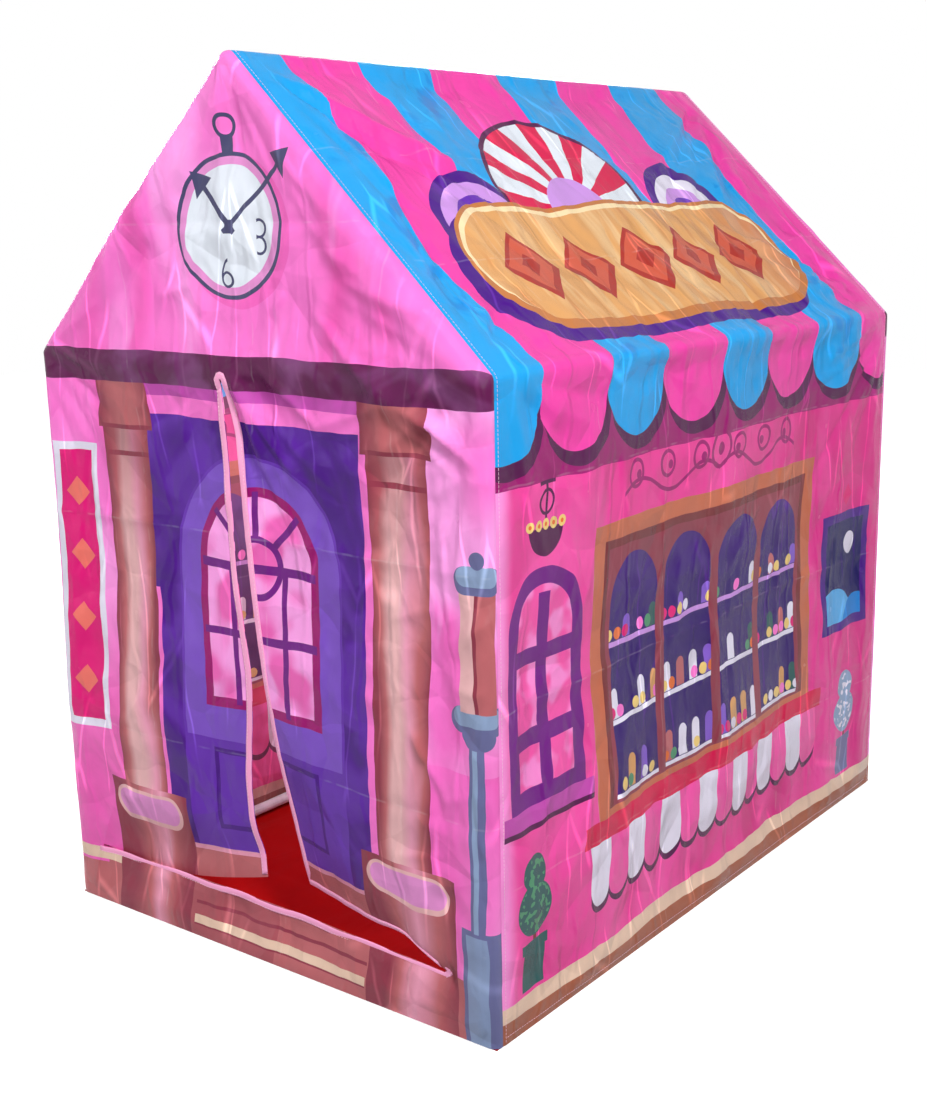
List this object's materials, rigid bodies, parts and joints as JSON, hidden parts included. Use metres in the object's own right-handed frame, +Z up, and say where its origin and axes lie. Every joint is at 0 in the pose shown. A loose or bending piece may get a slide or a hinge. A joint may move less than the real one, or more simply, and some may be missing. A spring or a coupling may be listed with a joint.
{
  "type": "kids play tent",
  "caption": "House-shaped kids play tent: a push-together tube frame under a sewn printed cover with floor, roof slopes and a doorway closed by two cloth flaps.",
  "frame": {"origin": "on the ground, under the middle of the tent", "axes": "+X to the tent's right seen from the doorway's outside, +Y from the doorway to the back, +Z up"},
  "size_m": [0.67, 0.9509, 1.0195],
  "materials": {
    "tube_plastic": "smooth extruded tube",
    "connector_plastic": "moulded, fine grain",
    "end_cloth": "thin printed polyester, slight gloss, creased",
    "wall_cloth": "thin printed polyester, slight gloss, creased",
    "roof_cloth": "thin striped polyester, slight gloss, creased",
    "flap_cloth": "thin printed polyester, slight gloss, creased",
    "floor_cloth": "plain coated polyester",
    "tape_cloth": "folded binding tape with one row of stitches"
  },
  "bodies": {
    "tent": {"back_panel": "end_cloth", "base_connector_back_left": "connector_plastic", "base_connector_back_right": "connector_plastic", "base_connector_front_left": "connector_plastic", "base_connector_front_right": "connector_plastic", "base_tube_back_left": "tube_plastic", "base_tube_back_right": "tube_plastic", "base_tube_front_left": "tube_plastic", "base_tube_front_right": "tube_plastic", "base_tube_left_back": "tube_plastic", "base_tube_left_front": "tube_plastic", "base_tube_right_back": "tube_plastic", "base_tube_right_front": "tube_plastic", "eave_connector_back_left": "connector_plastic", "eave_connector_back_right": "connector_plastic", "eave_connector_front_left": "connector_plastic", "eave_connector_front_right": "connector_plastic", "eave_tube_back_left": "tube_plastic", "eave_tube_back_right": "tube_plastic", "eave_tube_front_left": "tube_plastic", "eave_tube_front_right": "tube_plastic", "eave_tube_left_back": "tube_plastic", "eave_tube_left_front": "tube_plastic", "eave_tube_right_back": "tube_plastic", "eave_tube_right_front": "tube_plastic", "floor_sheet": "floor_cloth", "front_panel": "end_cloth", "post_back_left_lower": "tube_plastic", "post_back_left_upper": "tube_plastic", "post_back_right_lower": "tube_plastic", "post_back_right_upper": "tube_plastic", "post_front_left_lower": "tube_plastic", "post_front_left_upper": "tube_plastic", "post_front_right_lower": "tube_plastic", "post_front_right_upper": "tube_plastic", "rafter_back_left": "tube_plastic", "rafter_back_right": "tube_plastic", "rafter_front_left": "tube_plastic", "rafter_front_right": "tube_plastic", "ridge_connector_back": "connector_plastic", "ridge_connector_front": "connector_plastic", "ridge_tube_back": "tube_plastic", "ridge_tube_front": "tube_plastic", "roof_slope_left": "roof_cloth", "roof_slope_right": "roof_cloth", "side_wall_left": "wall_cloth", "side_wall_right": "wall_cloth", "sill_tape": "tape_cloth"},
    "left_flap": {"door_flap_left": "flap_cloth", "flap_tape_left": "tape_cloth"},
    "right_flap": {"door_flap_right": "flap_cloth", "flap_tape_right": "tape_cloth"}
  },
  "joints": [
    {"name": "left_flap_fold", "type": "hinge", "parent": "tent", "child": "left_flap", "pos_m": [-0.02479, -0.4745, 0.67762], "axis": [-0.4013, 0, -0.916], "range_deg": [-100, 150]},
    {"name": "right_flap_fold", "type": "hinge", "parent": "tent", "child": "right_flap", "pos_m": [-0.02479, -0.4745, 0.67762], "axis": [-0.4286, 0, 0.9035], "range_deg": [-100, 150]}
  ]
}
